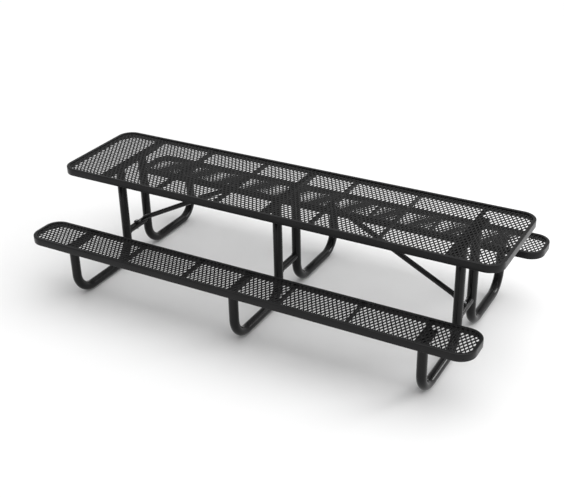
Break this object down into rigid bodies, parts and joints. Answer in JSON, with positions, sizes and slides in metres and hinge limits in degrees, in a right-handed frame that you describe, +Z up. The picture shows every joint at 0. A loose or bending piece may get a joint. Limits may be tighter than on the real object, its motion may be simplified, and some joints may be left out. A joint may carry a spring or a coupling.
{
  "type": "picnic table",
  "caption": "Long rectangular picnic table with an expanded-metal top, two attached benches and bent round tube legs.",
  "frame": {"origin": "on the ground, under the middle of the table top", "axes": "+X along the table, +Y across it towards the back bench, +Z up"},
  "size_m": [3.048, 1.538, 0.7619],
  "materials": {
    "coated_rim": "satin black plastic coating on steel",
    "coated_mesh": "satin black plastic coating on expanded steel",
    "coated_bar": "satin black plastic coating on steel",
    "powder_coated_tube": "semi-gloss black powder coat",
    "powder_coated_plate": "semi-gloss black powder coat",
    "powder_coated_brace": "semi-gloss black powder coat",
    "steel_fastener": "zinc plated"
  },
  "bodies": {
    "root": {"back_bench_cross_angle_left": "coated_bar", "back_bench_cross_angle_middle": "coated_bar", "back_bench_cross_angle_right": "coated_bar", "back_bench_cross_bar_1": "coated_bar", "back_bench_cross_bar_2": "coated_bar", "back_bench_cross_bar_3": "coated_bar", "back_bench_cross_bar_4": "coated_bar", "back_bench_mesh": "coated_mesh", "back_bench_rim": "coated_rim", "back_leg_left": "powder_coated_tube", "back_leg_middle": "powder_coated_tube", "back_leg_right": "powder_coated_tube", "back_seat_plate_left": "powder_coated_plate", "back_seat_plate_middle": "powder_coated_plate", "back_seat_plate_right": "powder_coated_plate", "brace_left": "powder_coated_brace", "brace_lower_left_bolt": "steel_fastener", "brace_lower_left_nut": "steel_fastener", "brace_lower_right_bolt": "steel_fastener", "brace_lower_right_nut": "steel_fastener", "brace_right": "powder_coated_brace", "brace_upper_left_bolt": "steel_fastener", "brace_upper_left_nut": "steel_fastener", "brace_upper_right_bolt": "steel_fastener", "brace_upper_right_nut": "steel_fastener", "front_bench_cross_angle_left": "coated_bar", "front_bench_cross_angle_middle": "coated_bar", "front_bench_cross_angle_right": "coated_bar", "front_bench_cross_bar_1": "coated_bar", "front_bench_cross_bar_2": "coated_bar", "front_bench_cross_bar_3": "coated_bar", "front_bench_cross_bar_4": "coated_bar", "front_bench_mesh": "coated_mesh", "front_bench_rim": "coated_rim", "front_leg_left": "powder_coated_tube", "front_leg_middle": "powder_coated_tube", "front_leg_right": "powder_coated_tube", "front_seat_plate_left": "powder_coated_plate", "front_seat_plate_middle": "powder_coated_plate", "front_seat_plate_right": "powder_coated_plate", "tie_tube_left": "powder_coated_tube", "tie_tube_middle": "powder_coated_tube", "tie_tube_right": "powder_coated_tube", "top_cross_angle_left": "coated_bar", "top_cross_angle_middle": "coated_bar", "top_cross_angle_right": "coated_bar", "top_cross_bar_1": "coated_bar", "top_cross_bar_2": "coated_bar", "top_cross_bar_3": "coated_bar", "top_cross_bar_4": "coated_bar", "top_mesh": "coated_mesh", "top_plate_left": "powder_coated_plate", "top_plate_middle": "powder_coated_plate", "top_plate_right": "powder_coated_plate", "top_rim": "coated_rim"}
  },
  "joints": []
}
